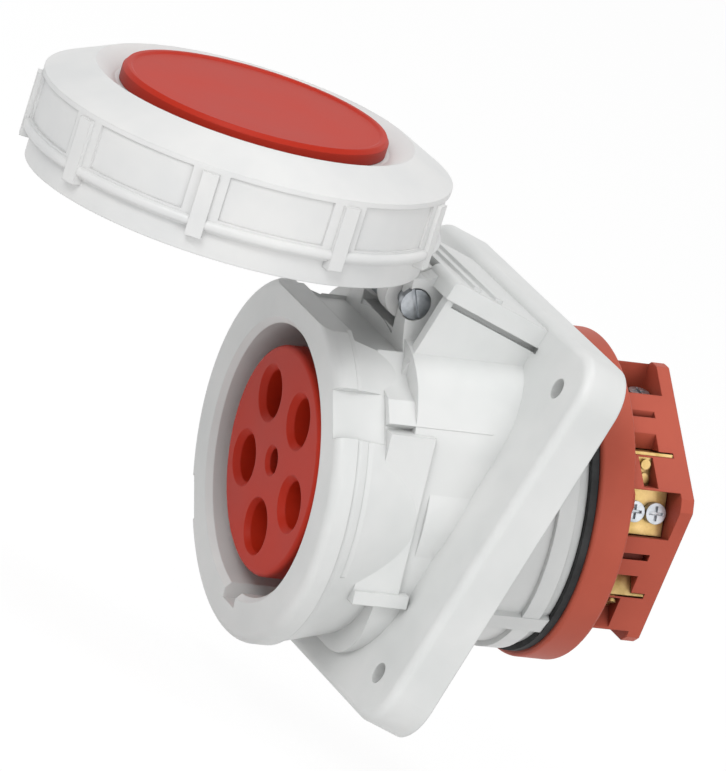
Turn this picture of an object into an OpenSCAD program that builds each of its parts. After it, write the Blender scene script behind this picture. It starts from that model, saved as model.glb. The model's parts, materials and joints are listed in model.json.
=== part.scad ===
// Industrial panel socket: sloped flange, round collar, hinged lid with a bayonet ring.
// Row frame: origin in the middle of the flange back, +X right, -Y out of the panel, +Z up.

/* [Flange] */
// Flange width across
flange_w = 119; // [100:1:140]
// Flange height
flange_h = 110; // [96:1:126]
// Depth of the flange rim in front of the panel
flange_t = 12.3; // [8:0.1:16]
// Corner radius of the flange
flange_corner = 11; // [6:1:16]
// Thickness of the flange front plate
plate_t = 4; // [3:0.5:6]
// Mounting holes in from the flange sides
screw_edge_x = 12.5; // [10:0.5:20]
// Mounting holes in from the flange top and bottom
screw_edge_z = 12; // [10:0.5:20]
// Mounting hole diameter
screw_hole_d = 5.5; // [4:0.1:7]

/* [Socket axis] */
// Downward slope of the socket
tilt = 20; // [0:1:30]
// Mouth centre in front of the flange face
mouth_out = 36; // [28:0.2:48]
// Mouth centre below the flange centre
mouth_drop = 15.7; // [0:0.1:24]
// Outer radius of the collar
collar_r = 47.3; // [44:0.1:52]
// Length of the thick collar band
collar_len = 6; // [5:0.5:14]
// Inner radius of the shroud opening
bore_r = 35.5; // [34:0.1:38]
// Depth of the ring gap for the plug
gap_depth = 48; // [36:1:52]

/* [Insert] */
// Radius of the contact insert
insert_r = 30; // [28:0.1:32]
// Insert face behind the mouth
insert_recess = 2.5; // [1:0.1:8]
// Radius of the contact circle
contact_ring = 18.1; // [16:0.1:19]
// Contact hole radius in the face
contact_hole_r = 6.3; // [5:0.1:7]
// Bore radius of line and neutral sleeves
line_bore_r = 4.05; // [3.5:0.05:4.5]
// Bore radius of the earth sleeve
earth_bore_r = 5.05; // [4.5:0.05:5.5]

/* [Terminals] */
// Radius of the full round band of the carrier
carrier_r = 43.5; // [40:0.5:46]
// Radius over the corners of the carrier behind the band
rear_r = 37.6; // [35:0.1:40]
// Carrier front rim behind the mouth
carrier_z = 75.8; // [66:0.1:84]
// Length of the carrier behind its rim
carrier_len = 29.4; // [20:0.1:32]
// Width of the full round band of the carrier
carrier_band = 9.8; // [6:0.1:12]
// Distance of the carrier flats from the axis
carrier_flat = 31.4; // [30:0.1:34]
// Middle of the clamps behind the mouth
clamp_z = 95; // [92:0.5:97]
// Length of a clamp along the socket
clamp_len = 12.6; // [11:0.1:13]
// Distance between the two screws of a clamp
screw_gap = 6; // [5:0.1:7]

/* [Lid] */
// Lid angle away from closed
lid_open = 94; // [0:1:100]
// Hinge axis above the socket axis
hinge_up = 51.4; // [48:0.1:58]
// Hinge axis behind the mouth
hinge_back = 23.6; // [16:0.1:28]
// Outer radius of the locking ring wall
ring_r = 53.6; // [52:0.1:58]
// Top face of the ring in front of the mouth
ring_top = 15.4; // [12:0.1:20]
// End of the ring skirt behind the mouth
ring_end = 13.6; // [10:0.1:16]
// Radius of the coloured disc
disc_r = 35.2; // [30:0.5:40]
// Number of grip panels round the ring
panels = 9; // [6:1:12]

/* [Hidden] */
$fn = 96;
e = 0.02;
fit = 0.3;
run_fit = 0.04;
screw_pitch_x = flange_w - 2 * screw_edge_x;
screw_pitch_z = flange_h - 2 * screw_edge_z;
mouth_y = -(flange_t + mouth_out);
mouth_z = -mouth_drop;
skirt_r = 40.4;
seal_t = 2.2;
body_w = 39.5;
body_h = 42.6;
body_corner = 22;
ear_in = 11.4;
ear_out = 17;
ear_r = 7;
knuckle_r = 6;
pin_r = 2.5;
ring_wall = 3;
lip_in = 33.08;
block_w = 25.6;
roof_w = 27;
roof_z = 47;
roof_t = 5.3;
bevel_r = 42.4;
lid_arm = 11.2;
lug_at = 34;
lug_turn = 45;
lug_front = 10;
lug_back = ring_end;
lip_z = 10.4;
lip_t = 1.9;
boss_r = 33;
corners = [13, 85, 157, 229, 301];
sleeve_turn = 41;
sleeve_wall = 1.85;
lug_w = 8;
pad_x = 41.3;
cap_r = ring_r - ring_wall - 4.6;
boss_wall = 3;
flat_up = 42.8;
pocket_up = 38.7;
white = "#D9DCDB";
red = "#B8413A";
brass = "#C9A14A";
steel = "#AEB2B6";
rubber = "#2A2B2C";

// ---------------------------------------------------------------- frames

// Panel frame: z counts out of the panel, y is up
module on_panel() {
  rotate([90, 0, 0])
    children();
}

// Socket frame: z runs out of the mouth, y is the top of the socket
module on_axis() {
  translate([0, mouth_y, mouth_z])
    rotate([90 + tilt, 0, 0])
      children();
}

// Hinge frame inside the socket frame: x along the pin
module at_hinge() {
  translate([0, hinge_up, -hinge_back])
    children();
}

// Places parts drawn with the lid closed at the lid angle
module on_lid() {
  on_axis()
    at_hinge()
      rotate([-lid_open, 0, 0])
        translate([0, -hinge_up, hinge_back])
          children();
}

// Cylinder along x
module bar_x(x0, x1, r) {
  translate([x0, 0, 0])
    rotate([0, 90, 0])
      cylinder(h = x1 - x0, r = r);
}

// ---------------------------------------------------------------- outlines

// Rectangle with round corners, centred
module round_rect(w, h, r) {
  square([w - 2 * r, h], center = true);
  square([w, h - 2 * r], center = true);
  for (sx = [-1, 1], sy = [-1, 1])
    translate([sx * (w / 2 - r), sy * (h / 2 - r)])
      circle(r);
}

// Section of a slab whose two upper edges are rounded
module slab_section(w, t, er) {
  translate([-w / 2, 0])
    square([w, t - er]);
  translate([-w / 2 + er, 0])
    square([w - 2 * er, t]);
  for (s = [-1, 1])
    translate([s * (w / 2 - er), t - er])
      circle(er);
}

// Plate with round corners and a rounded front edge
module soft_plate(w, h, t, r, er) {
  rotate([90, 0, 90])
    linear_extrude(w - 2 * r, center = true)
      slab_section(h, t, er);
  rotate([90, 0, 0])
    linear_extrude(h - 2 * r, center = true)
      slab_section(w, t, er);
  for (sx = [-1, 1], sy = [-1, 1])
    translate([sx * (w / 2 - r), sy * (h / 2 - r), 0])
      rotate_extrude() {
        square([r, t - er]);
        square([r - er, t]);
        translate([r - er, t - er])
          circle(er);
      }
}

// Tube between two radii
module tube(r1, r2, z0, z1) {
  translate([0, 0, z0])
    difference() {
      cylinder(h = z1 - z0, r = r2);
      translate([0, 0, -1])
        cylinder(h = z1 - z0 + 2, r = r1);
    }
}

// ---------------------------------------------------------------- housing

// Flange: plate, rim wall, screw bosses and stiffening ribs
module flange_shell() {
  on_panel()
    difference() {
      soft_plate(flange_w, flange_h, flange_t, flange_corner, 2.5);
      // hollow behind the plate
      translate([0, 0, -1])
        linear_extrude(flange_t - plate_t + 1)
          round_rect(flange_w - 14, flange_h - 14, flange_corner - 4);
      // seat of the panel gasket
      translate([0, 0, -1])
        linear_extrude(2.5)
          difference() {
            round_rect(flange_w - 4, flange_h - 4, flange_corner - 2);
            round_rect(flange_w - 10, flange_h - 10, flange_corner - 4);
          }
    }
  on_panel()
    for (sx = [-1, 1], sy = [-1, 1])
      translate([sx * screw_pitch_x / 2, sy * screw_pitch_z / 2, 0]) {
        cylinder(h = flange_t - 1, r = screw_hole_d / 2 + 3.2);
        // rib from the boss to the rim
        translate([sx > 0 ? 0 : -6, -1, 1.6])
          cube([6, 2, flange_t - 3]);
      }
  // ribs behind the plate
  on_panel()
    for (sx = [-1, 1])
      for (y = [-26, 0, 26])
        translate([sx * (flange_w / 2 - 12) - 8, y - 1, 2])
          cube([16, 2, flange_t - 4]);
}

// Keeps what lies in front of the flange plate
module before_plate() {
  intersection() {
    children();
    translate([-80, -150, -80])
      cube([160, 150 - flange_t + plate_t, 160]);
  }
}

// Body: rounded block at the flange, then a cone that opens to the collar band
module body_block() {
  before_plate()
    on_axis() {
      translate([0, 0, -72])
        linear_extrude(72 - 22)
          round_rect(2 * body_w, 2 * body_h, body_corner);
      rotate_extrude()
        polygon([[bore_r - 4, -collar_len + 1], [collar_r - 0.9, -collar_len + 1],
                 [collar_r - 0.9, -collar_len - 1.5], [41.4, -27], [bore_r - 4, -27]]);
      // rails low on both sides
      for (s = [-1, 1])
        translate([s > 0 ? 34 : -pad_x - 1, -22, -30])
          cube([pad_x + 1 - 34, 3.6, 30 - lug_back - 1.2]);
      // wide flat pads on both sides, from the collar back
      for (s = [-1, 1])
        translate([s > 0 ? 34 : -pad_x, -18.6, -27.4])
          cube([pad_x - 34, 42.6, 27.4 - lug_back - 1.2]);
    }
}

// Collar band with a rounded mouth edge
module collar_band() {
  on_axis()
    rotate_extrude() {
      translate([bore_r - 4, -collar_len])
        square([collar_r - bore_r + 4, collar_len - 2.5]);
      translate([bore_r - 4, -5])
        square([collar_r - bore_r + 1.5, 5]);
      translate([collar_r - 2.5, -2.5])
        circle(2.5);
    }
}

// Block on top of the body that carries the hinge: roof level with the flange edge
module hinge_block() {
  before_plate() {
    // roof with a rounded front edge
    translate([-roof_w, -42.2 + 2, roof_z])
      cube([2 * roof_w, 42, roof_t]);
    translate([-roof_w, -42.2, roof_z])
      cube([2 * roof_w, 4, roof_t - 2]);
    translate([0, -40.2, roof_z + roof_t - 2])
      bar_x(-roof_w, roof_w, 2);
    // raised lines on the roof
    for (y = [-36, -29])
      translate([-roof_w + 2, y, roof_z + roof_t - 1])
        cube([2 * roof_w - 4, 2.2, 1.8]);
    // side walls
    for (s = [-1, 1])
      translate([s > 0 ? block_w - 3.2 : -block_w, -41, 22])
        cube([3.2, 40, roof_z - 21]);
    // cross wall behind the ears and ribs under the roof
    translate([-block_w + 1, -34, 26])
      cube([2 * block_w - 2, 3, roof_z - 25]);
    for (x = [-9, 9])
      translate([x - 1, -32, 26])
        cube([2, 24, roof_z - 25]);
  }
}

// Hollow gussets that sweep from the hinge ears down to the body sides
module hinge_gusset(s) {
  on_axis()
    mirror([s > 0 ? 0 : 1, 0, 0])
      translate([0, 0, -hinge_back - 20])
        linear_extrude(20 + hinge_back - lug_back - 0.9)
          difference() {
            polygon([[ear_in, 30], [ear_in, hinge_up + 1], [ear_out - 0.2, hinge_up + 1],
                     [39, 26], [30, 20]]);
            translate([38.6, hinge_up + 1.2])
              circle(21.8);
          }
}

// One ear of the hinge, drawn in the plane across the pin
module hinge_ear(s) {
  on_axis()
    at_hinge()
      translate([s > 0 ? ear_in : -ear_out, 0, 0])
        rotate([90, 0, 90])
          linear_extrude(ear_out - ear_in) {
            circle(ear_r);
            polygon([[-12, 8.8], [-1.5, 8.8], [4.4, 5.4], [7.2, -3], [9, -6], [8, -14],
                     [-4, -14], [-12, -8]]);
          }
}

// Tube behind the panel that takes the terminal carrier
module rear_skirt() {
  on_axis() {
    tube(bore_r - 1, skirt_r, -carrier_z + seal_t, -30);
    // end rim and the step half way
    tube(bore_r - 1, skirt_r + 1.4, -carrier_z + 5, -carrier_z + 10);
    // latch ribs
    for (a = [-38, 38, 142, 218])
      rotate([0, 0, a])
        translate([skirt_r - 2, -3, -carrier_z + seal_t])
          cube([3.4, 6, 18]);
  }
}

module housing() {
  color(white)
    difference() {
      union() {
        flange_shell();
        body_block();
        collar_band();
        hinge_block();
        hinge_gusset(1);
        hinge_gusset(-1);
        hinge_ear(1);
        hinge_ear(-1);
        rear_skirt();
      }
      on_axis() {
        // bore of the shroud and seat of the carrier
        translate([0, 0, -carrier_z - 5])
          cylinder(h = carrier_z + 10, r = bore_r);
        // rounded lead-in at the mouth
        translate([0, 0, -1.5])
          cylinder(h = 1.6, r1 = bore_r, r2 = bore_r + 1.6);
        // keyway at the bottom of the mouth
        translate([-4, -bore_r - 4, -gap_depth + 6])
          cube([8, 8, gap_depth]);
        // entry slots of the bayonet lugs and the groove they turn in
        for (a = [lug_at, lug_at + 180])
          rotate([0, 0, a]) {
            translate([collar_r - 3.1, -lug_w / 2 - (a < 180 ? 1.2 : 2.8), -lug_back - 0.8])
              cube([8, lug_w + (a < 180 ? 5 : 4), lug_back + 5]);
            rotate([0, 0, -lug_turn - 8])
              rotate_extrude(angle = lug_turn + 16)
                translate([collar_r - 1.8, -lug_back - 0.8])
                  square([8, lug_back - lug_front + 1.4]);
          }
        // flat on top of the collar and pocket behind it, under the lid arms
        translate([-24, flat_up, -lug_back - 0.88])
          cube([48, 20, lug_back + 6]);
        translate([-21, pocket_up, -hinge_back + 2])
          cube([42, 20, hinge_back - 2 - collar_len - 1.6]);
        // room for the lid arms
        at_hinge() {
          bar_x(-ear_in, ear_in, knuckle_r + 0.8);
          translate([-ear_in, 0, -knuckle_r - 0.8])
            cube([2 * ear_in, 24, 24]);
          bar_x(-ear_out - 1, ear_out + 1, pin_r);
          bar_x(ear_out - 1.6, ear_out + 1, 4.3);
          bar_x(-ear_out - 1, -ear_out + 1.4, 4.3);
        }
      }
      // mounting holes
      on_panel()
        for (sx = [-1, 1], sy = [-1, 1])
          translate([sx * screw_pitch_x / 2, sy * screw_pitch_z / 2, -1])
            cylinder(h = flange_t + 4, r = screw_hole_d / 2);
      // shadow groove under the roof of the hinge block
      for (s = [-1, 1])
        translate([s > 0 ? block_w - 2 : -block_w - 2, -39, roof_z - 1.6])
          cube([4, 28, 1.6]);
    }
}

// Rubber frame pressed against the panel
module panel_gasket() {
  color(rubber)
    on_panel()
      linear_extrude(1.5)
        difference() {
          round_rect(flange_w - 4.6, flange_h - 4.6, flange_corner - 2.3);
          round_rect(flange_w - 9.4, flange_h - 9.4, flange_corner - 3.7);
        }
}

// ---------------------------------------------------------------- contacts

// Contact angle that belongs to corner k of the carrier
function contact_angle(k) = corners[k] + sleeve_turn;

module contact_insert() {
  color(red)
    on_axis()
      difference() {
        union() {
          // rounded face
          rotate_extrude() {
            translate([0, -gap_depth - 1])
              square([insert_r, gap_depth + 1 - insert_recess - 1.5]);
            translate([0, -insert_recess - 4])
              square([insert_r - 1.5, 4]);
            translate([insert_r - 1.5, -insert_recess - 1.5])
              circle(1.5);
          }
          // base disc at the bottom of the gap
          translate([0, 0, -gap_depth - 6])
            cylinder(h = 6, r = bore_r - fit);
        }
        for (k = [0:4])
          rotate([0, 0, contact_angle(k)])
            translate([contact_ring, 0, 0]) {
              translate([0, 0, -60])
                cylinder(h = 60, r = k == 3 ? 6.9 : 6.2);
              translate([0, 0, -insert_recess - 1.6])
                cylinder(h = 1.62, r1 = k == 3 ? 6.9 : 6.2, r2 = 7.6);
            }
        translate([0, 0, -60])
          cylinder(h = 60, r = 3.2);
        translate([0, 0, -insert_recess - 1])
          cylinder(h = 1.02, r1 = 3.2, r2 = 4.2);
      }
}

// Sleeve and clamp of one contact, drawn in the frame of its corner
module contact(k) {
  bore = k == 3 ? earth_bore_r : line_bore_r;
  front = -clamp_z + clamp_len / 2;
  on_axis()
    rotate([0, 0, corners[k]])
      difference() {
        union() {
          rotate([0, 0, sleeve_turn])
            translate([contact_ring, 0, front + 0.4])
              cylinder(h = -front - 0.4 - insert_recess - 8, r = bore + (k == 3 ? 1.55 : sleeve_wall));
          // foot that joins sleeve and clamp
          translate([11, 5.4, front - clamp_len])
            cube([17.6, 10, clamp_len + 1]);
          translate([18.6, -6, front - clamp_len])
            cube([10, 14, clamp_len]);
          // rivet heads side by side
          for (y = [8.7, 12.3])
            translate([28.2, y, -clamp_z + 1.6])
              rotate([0, 90, 0])
                cylinder(h = 2, r = 1.35);
        }
        rotate([0, 0, sleeve_turn]) {
          translate([contact_ring, 0, -60])
            cylinder(h = 80, r = bore);
          // slits that let the sleeve spring
          for (a = [0, 90])
            translate([contact_ring, 0, -25])
              rotate([0, 0, a])
                cube([20, 0.8, 27], center = true);
        }
        // wire hole and screw holes of the clamp
        translate([23.4, 0, front - clamp_len - 1])
          cylinder(h = clamp_len + 2.6, r = 3.4);
        for (s = [-1, 1])
          translate([24, 0, -clamp_z + s * screw_gap / 2])
            rotate([0, 90, 0])
              cylinder(h = 8, r = 2);
      }
}

module contact_line_1() {
  color(brass)
    contact(0);
}

module contact_line_2() {
  color(brass)
    contact(1);
}

module contact_line_3() {
  color(brass)
    contact(2);
}

module contact_earth() {
  color(brass)
    contact(3);
}

module contact_neutral() {
  color(brass)
    contact(4);
}

// Thin sleeve of the pilot circuit
module pilot_contact() {
  color(brass)
    on_axis()
      difference() {
        union() {
          translate([0, 0, -70])
            cylinder(h = 58, r = 3);
          translate([-3.5, -3.5, -96])
            cube([7, 7, 27]);
        }
        translate([0, 0, -50])
          cylinder(h = 60, r = 1.6);
        translate([0, 0, -97])
          cylinder(h = 14, r = 1.5);
        translate([0, 0, -90])
          rotate([0, 90, 18])
            cylinder(h = 10, r = 1.3);
      }
}

// Spring rings round the slit ends of the sleeves
module contact_springs() {
  color(steel)
    on_axis()
      for (k = [0:4])
        rotate([0, 0, contact_angle(k)])
          translate([contact_ring, 0, -16])
            rotate_extrude()
              translate([k == 3 ? 6.62 : 5.92, 0])
                square([0.24, 2.4]);
}

// Clamp screws of the five terminals
module terminal_screws() {
  color(steel)
    on_axis()
      for (k = [0:4])
        rotate([0, 0, corners[k]])
          for (s = [-1, 1])
            translate([0, 0, -clamp_z + s * screw_gap / 2])
              difference() {
                union() {
                  bar_x(25.4, 28.9, 1.95);
                  bar_x(28.9, 30.8, 2.8);
                }
                // cross recess
                translate([29.8, -1.9, -0.35])
                  cube([2, 3.8, 0.7]);
                translate([29.8, -0.35, -1.9])
                  cube([2, 0.7, 3.8]);
              }
}

module pilot_screw() {
  color(steel)
    on_axis()
      translate([0, 0, -90])
        rotate([0, 0, 18])
          difference() {
            union() {
              bar_x(1.7, 4.5, 1.25);
              bar_x(4.5, 5.9, 2.1);
            }
            translate([5.2, -3, -0.3])
              cube([2, 6, 0.6]);
          }
}

// ---------------------------------------------------------------- carrier

// Rear carrier: round band, five flats, windows for clamps and screws
module terminal_carrier() {
  back = -carrier_z - carrier_len;
  color(red)
    on_axis()
      difference() {
        union() {
          // full round band
          translate([0, 0, -carrier_z - carrier_band])
            rotate_extrude() {
              square([carrier_r - 1, carrier_band]);
              translate([0, 1])
                square([carrier_r, carrier_band - 2]);
              for (z = [1, carrier_band - 1])
                translate([carrier_r - 1, z])
                  circle(1);
            }
          // plug inside the skirt
          translate([0, 0, -carrier_z - 1])
            cylinder(h = carrier_z - gap_depth - 6 - fit + 1, r = bore_r - fit);
          // rear part with a flat beside each contact and a clamp in each corner
          rotate([0, 0, corners[0] + sleeve_turn + 36])
            intersection() {
              translate([0, 0, back])
                cylinder(h = carrier_len, r = rear_r);
              translate([0, 0, back])
                linear_extrude(carrier_len)
                  circle(r = carrier_flat / cos(36), $fn = 5);
            }
        }
        // passages of the sleeves
        for (k = [0:4])
          rotate([0, 0, corners[k]]) {
            rotate([0, 0, sleeve_turn])
              translate([contact_ring, 0, -clamp_z])
                cylinder(h = 60, r = k == 3 ? 6.9 : 6.2);
            // pocket of the foot and clamp
            translate([10.7, 5.1, -clamp_z - clamp_len / 2 - fit])
              cube([18.2, 10.6, clamp_len + 1 + 2 * fit]);
            translate([18.3, -6.3, -clamp_z - clamp_len / 2 - fit])
              cube([10.6, 14, clamp_len + 2 * fit]);
            // windows over the screws and the rivets
            translate([28, -6.3, -clamp_z - clamp_len / 2 - fit])
              cube([12, 12.6, clamp_len + 2 * fit]);
            translate([28, 6.9, -clamp_z - 0.4])
              cube([12, 7.2, 4]);
            // wire entry
            translate([23.4, 0, back - 1])
              cylinder(h = 12, r = 4.2);
            // slot and square window beside the clamp
            translate([26, -12.6, -clamp_z - 3.4])
              cube([12, 1.7, 8.2]);
            translate([22, -22, -clamp_z - 2.6])
              cube([14, 5, 8]);
          }
        // pilot passage
        translate([0, 0, -100])
          cylinder(h = 60, r = 3.3);
        translate([-3.8, -3.8, back - 1])
          cube([7.6, 7.6, carrier_len + carrier_z - 68 + 1]);
        rotate([0, 0, 18])
          translate([3, -2.6, -93])
            cube([4, 5.2, 6]);
      }
}

// Flat seal between the skirt end and the carrier band
module carrier_seal() {
  color(rubber)
    on_axis()
      tube(bore_r + fit, carrier_r - 1.4, -carrier_z + 0.1, -carrier_z + seal_t - 0.1);
}

// ---------------------------------------------------------------- hinge

module hinge_pin() {
  color(steel)
    on_axis()
      at_hinge()
        difference() {
          union() {
            bar_x(-ear_out + 0.2, ear_out, pin_r - run_fit);
            bar_x(ear_out - 1.5, ear_out + 0.4, 4);
          }
          translate([ear_out + 0.4, 0, 0])
            rotate([20, 0, 0])
              cube([1.4, 9, 1], center = true);
        }
}

module pin_clip() {
  color(steel)
    on_axis()
      at_hinge()
        difference() {
          bar_x(-ear_out + 0.5, -ear_out + 1.3, 4);
          bar_x(-ear_out - 1, -ear_out + 3, pin_r - run_fit + 0.02);
          translate([-ear_out - 1, -1.4, -8])
            cube([4, 2.8, 8]);
        }
}

// Torsion spring that holds the lid open
module hinge_spring() {
  color(steel)
    on_axis()
      at_hinge() {
        for (i = [0:4])
          translate([-3.8 + 1.9 * i, 0, 0])
            rotate([0, 90, 0])
              rotate_extrude()
                translate([4.2, 0])
                  circle(r = 0.95, $fn = 24);
        translate([3.8, -4.2, -8.1])
          cylinder(h = 8.1, r = 0.8, $fn = 24);
        translate([-3.8, 4.2, 0])
          cylinder(h = 4.2, r = 0.8, $fn = 24);
      }
}

// ---------------------------------------------------------------- lid

// Carrier plate of the lid with boss, web and hinge arms
module lid_cap() {
  color(white)
    on_lid()
      difference() {
        union() {
          translate([0, 0, 4])
            cylinder(h = 2.6, r = cap_r);
          translate([0, 0, 6])
            cylinder(h = lip_z - 6.1, r = 38);
          translate([0, 0, 6])
            cylinder(h = lip_z + lip_t - 5.94, r = boss_r);
          // web inside the ring on the hinge side
          intersection() {
            union() {
              tube(collar_r + 0.4, ring_r - ring_wall - 0.8, -ring_end - 4.6, 4.9);
              tube(40, ring_r - ring_wall - 0.8, 4, 4.9);
            }
            translate([-lid_arm, 30, -40])
              cube([2 * lid_arm, 40, 60]);
          }
          // arms down to the pin
          at_hinge()
            bar_x(-lid_arm, lid_arm, knuckle_r);
          translate([-lid_arm, 45.8, -hinge_back])
            cube([2 * lid_arm, 10.4, hinge_back - ring_end - 1.2]);
        }
        // gap for the spring
        translate([-5.2, 40, -hinge_back - 8])
          cube([10.4, 24, hinge_back - ring_end + 9]);
        at_hinge()
          bar_x(-30, 30, pin_r + run_fit);
        // hollow behind the boss
        translate([0, 0, 3])
          cylinder(h = lip_z + lip_t - 4.8, r = boss_r - boss_wall);
      }
}

module lid_gasket() {
  color(rubber)
    on_lid()
      tube(boss_r, cap_r - 0.5, 0.4, 4);
}

// Coloured disc: flat rim with a shallow dish
module lid_disc() {
  color(red)
    on_lid()
      difference() {
        union() {
          translate([0, 0, lip_z + lip_t + 0.12])
            cylinder(h = ring_top - lip_z - lip_t, r = disc_r);
          translate([0, 0, ring_top])
            cylinder(h = 1.3, r1 = disc_r, r2 = disc_r - 0.8);
        }
        translate([0, 0, ring_top + 0.8])
          cylinder(h = 2, r1 = disc_r - 2.6, r2 = disc_r + 0.4);
      }
}

// Wall of the ring: bevelled top, bead and stepped skirt
module ring_body() {
  rotate_extrude() {
    polygon([[lip_in, lip_z], [39.4, lip_z], [41.4, 11.6], [ring_r - ring_wall, 6.2],
             [ring_r - ring_wall, -ring_end], [ring_r - 1.2, -ring_end], [ring_r - 1.2, -7],
             [ring_r + 0.4, -7], [ring_r + 0.4, 9.6], [bevel_r + 0.6, ring_top - 0.3],
             [bevel_r - 0.2, ring_top], [disc_r + 1.1, lip_z + lip_t],
             [lip_in, lip_z + lip_t]]);
    translate([ring_r + 0.2, -5.2])
      circle(1.4);
  }
}

module locking_ring() {
  step = 360 / panels;
  color(white)
    on_lid()
      difference() {
        union() {
          ring_body();
          // bayonet lugs
          for (a = [lug_at, lug_at + 180])
            rotate([0, 0, a])
              intersection() {
                tube(collar_r - 1, ring_r - ring_wall + 0.5, -lug_back, -lug_front);
                translate([collar_r - 8, -lug_w / 2, -ring_end - 7])
                  cube([ring_r - collar_r + 9, lug_w, 20]);
              }
          // ribs that cross the bead
          for (i = [0:panels - 1])
            rotate([0, 0, (i + 0.25) * step])
              translate([ring_r - 1.6, -2.2, -9])
                cube([3.2, 4.4, 17]);
        }
        // recessed grip panels
        for (i = [0:panels - 1])
          rotate([0, 0, (i + 0.25) * step])
            difference() {
              rotate([0, 0, 5.2])
                rotate_extrude(angle = step - 10.4)
                  translate([ring_r - 0.3, -3.2])
                    square([6, 11.4]);
            }
      }
}

// ---------------------------------------------------------------- dispatch

housing();
panel_gasket();
contact_insert();
terminal_carrier();
carrier_seal();
contact_line_1();
contact_line_2();
contact_line_3();
contact_neutral();
contact_earth();
pilot_contact();
contact_springs();
terminal_screws();
pilot_screw();
hinge_pin();
pin_clip();
hinge_spring();
lid_cap();
lid_gasket();
lid_disc();
locking_ring();
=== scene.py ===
"""Looks of the industrial panel socket: finishes, wound spring, studio and camera.

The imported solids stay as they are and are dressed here. Lengths are metres in the
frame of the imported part, or millimetres where a name ends in mm: +X across the
flange, -Y out of the panel, +Z up.
"""

import json
import logging
import math
from dataclasses import dataclass, field
from enum import Enum

import bpy
from mathutils import Matrix, Vector

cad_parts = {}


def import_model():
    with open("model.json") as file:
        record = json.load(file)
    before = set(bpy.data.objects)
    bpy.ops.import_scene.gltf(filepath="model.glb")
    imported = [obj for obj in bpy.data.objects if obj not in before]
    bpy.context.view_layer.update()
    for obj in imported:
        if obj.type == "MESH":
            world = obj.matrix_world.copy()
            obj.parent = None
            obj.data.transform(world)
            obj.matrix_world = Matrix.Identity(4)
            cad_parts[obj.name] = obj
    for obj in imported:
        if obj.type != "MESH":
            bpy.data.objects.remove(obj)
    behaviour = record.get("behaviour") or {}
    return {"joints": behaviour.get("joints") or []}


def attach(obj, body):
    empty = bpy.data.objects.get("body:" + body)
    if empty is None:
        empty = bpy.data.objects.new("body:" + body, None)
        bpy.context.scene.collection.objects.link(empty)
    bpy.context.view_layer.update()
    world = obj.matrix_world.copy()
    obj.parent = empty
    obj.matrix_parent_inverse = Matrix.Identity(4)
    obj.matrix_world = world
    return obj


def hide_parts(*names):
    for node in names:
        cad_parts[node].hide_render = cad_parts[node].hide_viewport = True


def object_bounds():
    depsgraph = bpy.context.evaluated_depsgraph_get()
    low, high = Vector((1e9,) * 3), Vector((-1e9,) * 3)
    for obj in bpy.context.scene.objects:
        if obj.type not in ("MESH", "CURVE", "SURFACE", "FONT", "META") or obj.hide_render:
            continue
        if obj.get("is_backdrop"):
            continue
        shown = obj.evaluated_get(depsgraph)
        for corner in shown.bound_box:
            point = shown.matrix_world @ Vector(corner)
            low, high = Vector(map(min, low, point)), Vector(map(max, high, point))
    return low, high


LOG = logging.getLogger("panel_socket")
MM = 0.001
FLOOR_DROP = 16 * MM  # the shut lid hangs lower than the flange does
WHITE = "#FFFFFF"

Place = tuple[float, float, float]


class End(Enum):
    """Ends of the wound spring, by the sign of their X."""

    RIGHT = 1
    LEFT = -1


def linear(colour: str) -> tuple[float, float, float, float]:
    """Turns an sRGB hex colour to linear.

    Args:
        colour: six hex digits after a hash sign.

    Returns:
        Linear red, green, blue and an alpha of one.
    """
    parts = [int(colour[i:i + 2], 16) / 255 for i in (1, 3, 5)]
    r, g, b = [c / 12.92 if c <= 0.04045 else ((c + 0.055) / 1.055) ** 2.4 for c in parts]
    return r, g, b, 1.0


def add_node(tree: bpy.types.NodeTree, kind: str, settings: dict | None = None,
             links: dict | None = None) -> bpy.types.Node:
    """Adds one shader node.

    Args:
        tree: node tree of the material or world.
        kind: class name of the node.
        settings: attributes, or input sockets by name, with their values.
        links: input sockets by name or number, with the output sockets that feed them.

    Returns:
        The new node.
    """
    node = tree.nodes.new(kind)
    for key, value in (settings or {}).items():
        if hasattr(node, key):
            setattr(node, key, value)
        else:
            node.inputs[key].default_value = value
    for key, source in (links or {}).items():
        tree.links.new(source, node.inputs[key])
    return node


def new_tree(name: str) -> tuple[bpy.types.Material, bpy.types.NodeTree]:
    """Makes an empty node material.

    Args:
        name: name of the material.

    Returns:
        The material and its cleared node tree.
    """
    material = bpy.data.materials.new(name)
    material.use_nodes = True
    material.node_tree.nodes.clear()
    return material, material.node_tree


def patches(tree: bpy.types.NodeTree, place: bpy.types.NodeSocket, outline: dict,
            tones: dict[float, str]) -> tuple[bpy.types.NodeSocket, bpy.types.NodeSocket]:
    """Adds soft patches that go from one colour to another.

    Args:
        tree: node tree of the finish.
        place: coordinates that the pattern lies on.
        outline: scale, detail and roughness of the noise that draws the patches.
        tones: two hex colours, each by the height of the noise at which it is reached.

    Returns:
        Output sockets of the noise and of the colour.
    """
    cloud = add_node(tree, "ShaderNodeTexNoise", outline, {"Vector": place})
    tint = add_node(tree, "ShaderNodeValToRGB", {}, {"Fac": cloud.outputs["Fac"]})
    for stop, (height, colour) in zip(tint.color_ramp.elements, tones.items()):
        stop.position = height
        stop.color = linear(colour)
    return cloud.outputs["Fac"], tint.outputs["Color"]


def dress(node: str, material: bpy.types.Material) -> None:
    """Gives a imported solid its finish.

    Args:
        node: name of the node.
        material: finish for all of its surface.
    """
    piece = bpy.data.objects[node]
    piece.data.materials.clear()
    piece.data.materials.append(material)
    LOG.info("%s dressed in %s", node, material.name)


# ---------------------------------------------------------------- finishes


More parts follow.
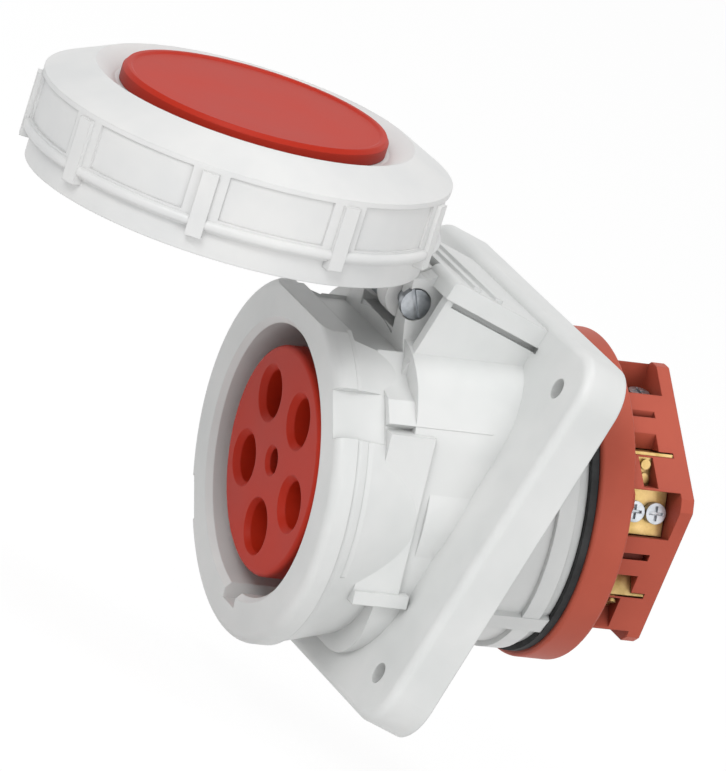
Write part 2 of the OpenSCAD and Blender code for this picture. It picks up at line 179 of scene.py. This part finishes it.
@dataclass(frozen=True)
class MouldedPolyamide:
    """Injection-moulded polyamide from a spark-eroded mould.

    It looks even and half matt. Its colour drifts a little from place to place, its
    soft edges catch the light, and painted shade darkens the corners and the deep holes.
    """

    name: str
    colour: str
    shade: str
    roughness: float = 0.42
    smoother: float = 0.05
    rougher: float = 0.07
    gloss: float = 0.5
    grain_mm: float = 0.45  # drawn coarser than the real 0.1 mm, which is too fine to show
    grain_height_mm: float = 0.12
    grain_strength: float = 0.12
    edge_mm: float = 0.45
    drift_mm: float = 28.0
    # reach and depth of the painted shade in corners and holes
    shade_reach_mm: float = 7.0
    shaded_value: float = 0.82

    def build(self) -> bpy.types.Material:
        """Builds the node material."""
        material, tree = new_tree(self.name)
        place = add_node(tree, "ShaderNodeTexCoord").outputs["Object"]
        drift, tint = patches(
            tree, place,
            {"Scale": 1 / (self.drift_mm * MM), "Detail": 3.0, "Roughness": 0.55},
            {0.32: self.shade, 0.62: self.colour})
        # painted shade: the colour darkens where ambient occlusion finds corners and deep holes
        corner = add_node(tree, "ShaderNodeAmbientOcclusion",
                          {"samples": 6, "Distance": self.shade_reach_mm * MM})
        painted_shade = add_node(tree, "ShaderNodeMapRange",
                        {"From Min": 0.15, "From Max": 0.75,
                         "To Min": self.shaded_value, "To Max": 1.0},
                        {"Value": corner.outputs["AO"]})
        shaded_tint = add_node(tree, "ShaderNodeHueSaturation", {},
                          {"Color": tint, "Value": painted_shade.outputs["Result"]})
        sheen = add_node(tree, "ShaderNodeMapRange",
                         {"To Min": self.roughness - self.smoother,
                          "To Max": self.roughness + self.rougher},
                         {"Value": drift})
        grain = add_node(tree, "ShaderNodeTexNoise",
                         {"Scale": 1 / (self.grain_mm * MM), "Detail": 2.0, "Roughness": 0.6},
                         {"Vector": place})
        edge = add_node(tree, "ShaderNodeBevel", {"samples": 6, "Radius": self.edge_mm * MM})
        relief = add_node(tree, "ShaderNodeBump",
                          {"Strength": self.grain_strength,
                           "Distance": self.grain_height_mm * MM},
                          {"Height": grain.outputs["Fac"], "Normal": edge.outputs["Normal"]})
        shader = add_node(tree, "ShaderNodeBsdfPrincipled",
                          {"IOR": 1.53, "Specular IOR Level": self.gloss},
                          {"Base Color": shaded_tint.outputs["Color"],
                           "Roughness": sheen.outputs["Result"],
                           "Normal": relief.outputs["Normal"]})
        add_node(tree, "ShaderNodeOutputMaterial", {}, {"Surface": shader.outputs["BSDF"]})
        return material


@dataclass(frozen=True)
class TurnedMetal:
    """Turned brass or zinc-plated steel.

    Its fine tool marks break up what it mirrors, and its stained patches are duller.
    """

    name: str
    colour: str
    stain: str
    roughness: float = 0.34
    smoother: float = 0.08
    rougher: float = 0.14
    mark_mm: float = 0.35  # drawn coarser than the real 0.1 mm, which is too fine to show
    mark_height_mm: float = 0.05
    mark_strength: float = 0.15
    edge_mm: float = 0.2
    patch_mm: float = 4.0

    def build(self) -> bpy.types.Material:
        """Builds the node material."""
        material, tree = new_tree(self.name)
        place = add_node(tree, "ShaderNodeTexCoord").outputs["Object"]
        patch, tint = patches(
            tree, place,
            {"Scale": 1 / (self.patch_mm * MM), "Detail": 4.0, "Roughness": 0.6},
            {0.3: self.stain, 0.6: self.colour})
        sheen = add_node(tree, "ShaderNodeMapRange",
                         {"To Min": self.roughness - self.smoother,
                          "To Max": self.roughness + self.rougher},
                         {"Value": patch})
        marks = add_node(tree, "ShaderNodeTexNoise",
                         {"Scale": 1 / (self.mark_mm * MM), "Detail": 2.0},
                         {"Vector": place})
        edge = add_node(tree, "ShaderNodeBevel", {"samples": 4, "Radius": self.edge_mm * MM})
        relief = add_node(tree, "ShaderNodeBump",
                          {"Strength": self.mark_strength, "Distance": self.mark_height_mm * MM},
                          {"Height": marks.outputs["Fac"], "Normal": edge.outputs["Normal"]})
        shader = add_node(tree, "ShaderNodeBsdfPrincipled", {"Metallic": 1.0},
                          {"Base Color": tint,
                           "Roughness": sheen.outputs["Result"],
                           "Normal": relief.outputs["Normal"]})
        add_node(tree, "ShaderNodeOutputMaterial", {}, {"Surface": shader.outputs["BSDF"]})
        return material


@dataclass(frozen=True)
class SealRubber:
    """Moulded nitrile rubber, matt black with a greyish bloom in patches."""

    name: str = "nitrile_rubber"
    colour: str = "#1C1D1E"
    bloom: str = "#333536"
    roughness: float = 0.72
    bloom_mm: float = 6.0
    grain_mm: float = 0.4  # drawn coarser than the real 0.1 mm, which is too fine to show
    grain_height_mm: float = 0.1
    grain_strength: float = 0.2

    def build(self) -> bpy.types.Material:
        """Builds the node material."""
        material, tree = new_tree(self.name)
        place = add_node(tree, "ShaderNodeTexCoord").outputs["Object"]
        _, tint = patches(
            tree, place,
            {"Scale": 1 / (self.bloom_mm * MM), "Detail": 5.0, "Roughness": 0.65},
            {0.4: self.colour, 0.75: self.bloom})
        grain = add_node(tree, "ShaderNodeTexNoise",
                         {"Scale": 1 / (self.grain_mm * MM), "Detail": 2.0},
                         {"Vector": place})
        relief = add_node(tree, "ShaderNodeBump",
                          {"Strength": self.grain_strength,
                           "Distance": self.grain_height_mm * MM},
                          {"Height": grain.outputs["Fac"]})
        shader = add_node(tree, "ShaderNodeBsdfPrincipled",
                          {"Roughness": self.roughness, "IOR": 1.52},
                          {"Base Color": tint, "Normal": relief.outputs["Normal"]})
        add_node(tree, "ShaderNodeOutputMaterial", {}, {"Surface": shader.outputs["BSDF"]})
        return material


@dataclass
class Finishes:
    """The finishes of the socket, built once and shared by its pieces."""

    housing: bpy.types.Material = field(init=False)
    lid: bpy.types.Material = field(init=False)
    coded: bpy.types.Material = field(init=False)
    carrier: bpy.types.Material = field(init=False)
    brass: bpy.types.Material = field(init=False)
    steel: bpy.types.Material = field(init=False)
    rubber: bpy.types.Material = field(init=False)

    def __post_init__(self) -> None:
        """Builds each finish."""
        # the red pieces are duller than the grey ones, and take deeper painted shade in their
        # holes
        dull = {"roughness": 0.5, "gloss": 0.2, "grain_mm": 0.5,
                "shade_reach_mm": 9.0, "shaded_value": 0.45}
        self.housing = MouldedPolyamide("polyamide_light_grey", "#E6E7E6", "#DCDEDD").build()
        self.lid = MouldedPolyamide("polyamide_lid_grey", "#E9E9E8", "#E0E1E1",
                                    roughness=0.38).build()
        self.coded = MouldedPolyamide("polyamide_red", "#BF2C15", "#B82913", **dull).build()
        self.carrier = MouldedPolyamide("polyamide_brick_red", "#C25C48", "#B85542",
                                        **dull).build()
        self.brass = TurnedMetal("machined_brass", "#CDB079", "#A48850").build()
        self.steel = TurnedMetal("zinc_plated_steel", "#BFC3C7", "#8E9398").build()
        self.rubber = SealRubber().build()


# ---------------------------------------------------------------- sub-assemblies


@dataclass
class SocketShell:
    """Flange, collar and skirt in one moulding, with the seals behind flange and skirt."""

    finishes: Finishes

    def build(self) -> None:
        """Dresses the shell and its seals."""
        dress("housing", self.finishes.housing)
        dress("panel_gasket", self.finishes.rubber)
        dress("carrier_seal", self.finishes.rubber)


@dataclass
class ContactBlock:
    """Red insert and rear carrier, with the brass contacts, their springs and screws."""

    finishes: Finishes
    contacts: tuple[str, ...] = ("contact_line_1", "contact_line_2", "contact_line_3",
                                 "contact_neutral", "contact_earth", "pilot_contact")
    hardware: tuple[str, ...] = ("contact_springs", "terminal_screws", "pilot_screw")

    def build(self) -> None:
        """Dresses the insert, the carrier, the contacts and the small hardware."""
        dress("contact_insert", self.finishes.coded)
        dress("terminal_carrier", self.finishes.carrier)
        for name in self.contacts:
            dress(name, self.finishes.brass)
        for name in self.hardware:
            dress(name, self.finishes.steel)


@dataclass
class LidHinge:
    """Hinge pin, its clip and the torsion spring wound from one wire."""

    finishes: Finishes
    pin: Place
    tilt_deg: float = 20.0  # of the socket's axis, along which the rear leg lies
    turns: float = 4.25
    steps_per_turn: int = 28
    coil_r: float = 4.2 * MM
    length: float = 7.6 * MM
    wire_r: float = 0.85 * MM
    wire_sides: int = 14
    rear_leg: float = 8.1 * MM
    lid_leg: float = 4.5 * MM
    crease_deg: float = 50.0

    def build(self) -> None:
        """Dresses the pin and the clip, and winds the spring."""
        dress("hinge_pin", self.finishes.steel)
        dress("pin_clip", self.finishes.steel)
        self._spring()

    def _spring(self) -> None:
        """Winds the spring round the pin, from the wire's section, and draws out its legs."""
        bpy.ops.object.select_all(action="DESELECT")
        bpy.ops.mesh.primitive_circle_add(vertices=self.wire_sides, radius=self.wire_r,
                                          location=(self.length / 2, -self.coil_r, 0))
        spring = bpy.context.object
        spring.name = "torsion_spring"
        bpy.ops.object.transform_apply(location=True, rotation=False, scale=False)
        winding = spring.modifiers.new("winding", "SCREW")
        winding.axis = "X"
        winding.angle = -self.turns * math.tau
        winding.screw_offset = -self.length
        winding.steps = winding.render_steps = round(self.turns * self.steps_per_turn)
        bpy.ops.object.modifier_apply(modifier=winding.name)
        # once turned, the rear leg leaves below the pin and the lid leg in front of it
        self._leg(spring, End.RIGHT, (0, 0, -self.rear_leg))
        self._leg(spring, End.LEFT, (0, self.lid_leg, 0))
        bpy.ops.object.mode_set(mode="EDIT")
        bpy.ops.mesh.select_all(action="SELECT")
        bpy.ops.mesh.normals_make_consistent(inside=False)
        bpy.ops.object.mode_set(mode="OBJECT")
        bpy.ops.object.shade_smooth_by_angle(angle=math.radians(self.crease_deg))
        spring.rotation_euler = (math.radians(90 + self.tilt_deg), 0, 0)
        spring.location = self.pin
        bpy.ops.object.transform_apply(location=True, rotation=True, scale=False)
        spring.data.materials.append(self.finishes.steel)
        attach(spring, "socket")
        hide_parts("hinge_spring")
        LOG.info("%s wound round the pin", spring.name)

    def _leg(self, spring: bpy.types.Object, end: End, reach: Place) -> None:
        """Draws one leg out of the open end of the winding and closes it.

        Args:
            spring: the wound wire, still drawn about the world's X axis.
            end: the end of the winding that the leg leaves from.
            reach: direction and length of the leg.
        """
        bpy.ops.object.mode_set(mode="EDIT")
        bpy.ops.mesh.select_mode(type="VERT")
        bpy.ops.mesh.select_all(action="DESELECT")
        bpy.ops.mesh.select_non_manifold(extend=False)
        bpy.ops.object.mode_set(mode="OBJECT")
        for vertex in spring.data.vertices:
            vertex.select = vertex.select and vertex.co.x * end.value > 0
        for edge in spring.data.edges:
            edge.select = all(spring.data.vertices[i].select for i in edge.vertices)
        bpy.ops.object.mode_set(mode="EDIT")
        bpy.ops.mesh.extrude_region_move(TRANSFORM_OT_translate={"value": reach})
        bpy.ops.mesh.edge_face_add()
        bpy.ops.object.mode_set(mode="OBJECT")


@dataclass
class Lid:
    """Lid: cap with its gasket, red disc, and the locking ring that turns round them."""

    finishes: Finishes

    def build(self) -> None:
        """Dresses the lid's pieces."""
        dress("lid_cap", self.finishes.lid)
        dress("lid_gasket", self.finishes.rubber)
        dress("lid_disc", self.finishes.coded)
        dress("locking_ring", self.finishes.lid)


# ---------------------------------------------------------------- studio


@dataclass(frozen=True)
class Lamp:
    """Soft square lamp: its name, place, side and power in watts."""

    name: str
    at: Place
    side: float
    watts: float

    def hang(self, towards: Place) -> None:
        """Hangs the lamp.

        Args:
            towards: the point that it faces.
        """
        data = bpy.data.lights.new(self.name, "AREA")
        data.shape = "SQUARE"
        data.size = self.side
        data.energy = self.watts
        lamp = bpy.data.objects.new(self.name, data)
        bpy.context.scene.collection.objects.link(lamp)
        lamp.location = self.at
        aim = Vector(towards) - Vector(self.at)
        lamp.rotation_euler = aim.to_track_quat("-Z", "Y").to_euler()


@dataclass
class Studio:
    """Pale floor, soft lamps, white surround and the camera."""

    floor_z: float
    floor_side: float = 14.0
    floor_colour: str = "#F4F4F4"
    floor_glow: float = 1.055
    glow_share: float = 0.88
    lit_strength: float = 0.45  # of the surround as light on the pieces
    seen_strength: float = 1.0  # of the surround where it is seen or mirrored
    lamps: tuple[Lamp, ...] = (Lamp("key", (1.3, -1.6, 1.1), 0.9, 17),
                               Lamp("fill", (2.2, 0.3, 0.5), 1.2, 9),
                               Lamp("top", (0.1, -0.2, 1.9), 1.0, 8))
    lamps_face: Place = (0.0, -0.03, 0.0)
    focal_mm: float = 506.85
    sensor_mm: float = 36.0
    sees_to: float = 50.0
    camera_faces: Place = (0.0, -0.03492, 0.01349)
    distance: float = 2.7859
    azimuth_deg: float = 61.845
    elevation_deg: float = 7.206
    roll_deg: float = 32.006

    def build(self) -> None:
        """Builds the floor, the lamps, the surround and the camera."""
        self._floor()
        for lamp in self.lamps:
            lamp.hang(self.lamps_face)
        self._surround()
        self._camera()

    @staticmethod
    def _seen(tree: bpy.types.NodeTree) -> bpy.types.NodeSocket:
        """Tells rays that see the surround, straight, in a mirror or through glass.

        Args:
            tree: node tree of the floor or the world.

        Returns:
            A socket that is one for such a ray and zero for the others.
        """
        path = add_node(tree, "ShaderNodeLightPath")
        opaque = add_node(tree, "ShaderNodeMath", {"operation": "MAXIMUM"},
                          {0: path.outputs["Is Camera Ray"], 1: path.outputs["Is Glossy Ray"]})
        seen = add_node(tree, "ShaderNodeMath", {"operation": "MAXIMUM"},
                        {0: opaque.outputs[0], 1: path.outputs["Is Transmission Ray"]})
        return seen.outputs[0]

    def _floor(self) -> None:
        """Lays a wide floor that shows white and keeps a soft shadow."""
        bpy.ops.object.select_all(action="DESELECT")
        bpy.ops.mesh.primitive_plane_add(size=self.floor_side, location=(0, 0, self.floor_z))
        floor = bpy.context.object
        floor.name = "studio_floor"
        bpy.ops.object.transform_apply(location=True, rotation=False, scale=False)
        material, tree = new_tree("studio_floor_paint")
        paint = add_node(tree, "ShaderNodeBsdfDiffuse", {"Color": linear(self.floor_colour)})
        glow = add_node(tree, "ShaderNodeEmission",
                        {"Color": linear(WHITE), "Strength": self.floor_glow})
        # what the glow leaves is lit paint, which takes the shadow
        share = add_node(tree, "ShaderNodeMath", {"operation": "MULTIPLY"},
                         {0: self._seen(tree)})
        share.inputs[1].default_value = self.glow_share
        mixed = add_node(tree, "ShaderNodeMixShader", {},
                         {0: share.outputs[0], 1: paint.outputs[0], 2: glow.outputs[0]})
        add_node(tree, "ShaderNodeOutputMaterial", {}, {"Surface": mixed.outputs[0]})
        floor.data.materials.append(material)
        floor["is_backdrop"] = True

    def _surround(self) -> None:
        """Gives the world an even light, and white where it is seen or mirrored."""
        world = bpy.data.worlds.new("studio_surround")
        bpy.context.scene.world = world
        world.use_nodes = True
        tree = world.node_tree
        tree.nodes.clear()
        power = add_node(tree, "ShaderNodeMapRange",
                         {"To Min": self.lit_strength, "To Max": self.seen_strength},
                         {"Value": self._seen(tree)})
        glow = add_node(tree, "ShaderNodeBackground", {"Color": linear(WHITE)},
                        {"Strength": power.outputs["Result"]})
        add_node(tree, "ShaderNodeOutputWorld", {}, {"Surface": glow.outputs[0]})

    def _camera(self) -> None:
        """Stands the long-lens camera back from the point that it faces.

        Its azimuth runs from the front, -Y, towards +X, and its roll tips its right
        side up.
        """
        data = bpy.data.cameras.new("view")
        data.sensor_width = self.sensor_mm
        data.lens = self.focal_mm
        data.clip_end = self.sees_to
        camera = bpy.data.objects.new("view", data)
        bpy.context.scene.collection.objects.link(camera)
        camera.matrix_world = (
            Matrix.Translation(self.camera_faces)
            @ Matrix.Rotation(math.radians(self.azimuth_deg), 4, "Z")
            @ Matrix.Rotation(math.radians(90 - self.elevation_deg), 4, "X")
            @ Matrix.Rotation(math.radians(self.roll_deg), 4, "Z")
            @ Matrix.Translation((0, 0, self.distance)))
        bpy.context.scene.camera = camera


def main() -> None:
    """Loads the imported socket, dresses it and sets the studio."""
    logging.basicConfig(level=logging.INFO)
    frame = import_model()
    solid_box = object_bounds()
    hinge = next(j for j in frame["joints"] if j["name"] == "lid_hinge")
    finishes = Finishes()
    SocketShell(finishes).build()
    ContactBlock(finishes).build()
    LidHinge(finishes, tuple(hinge["pos_m"])).build()
    Lid(finishes).build()
    Studio(solid_box[0][2] - FLOOR_DROP).build()
    bpy.context.scene.view_settings.view_transform = "Standard"


if __name__ == "__main__":
    main()
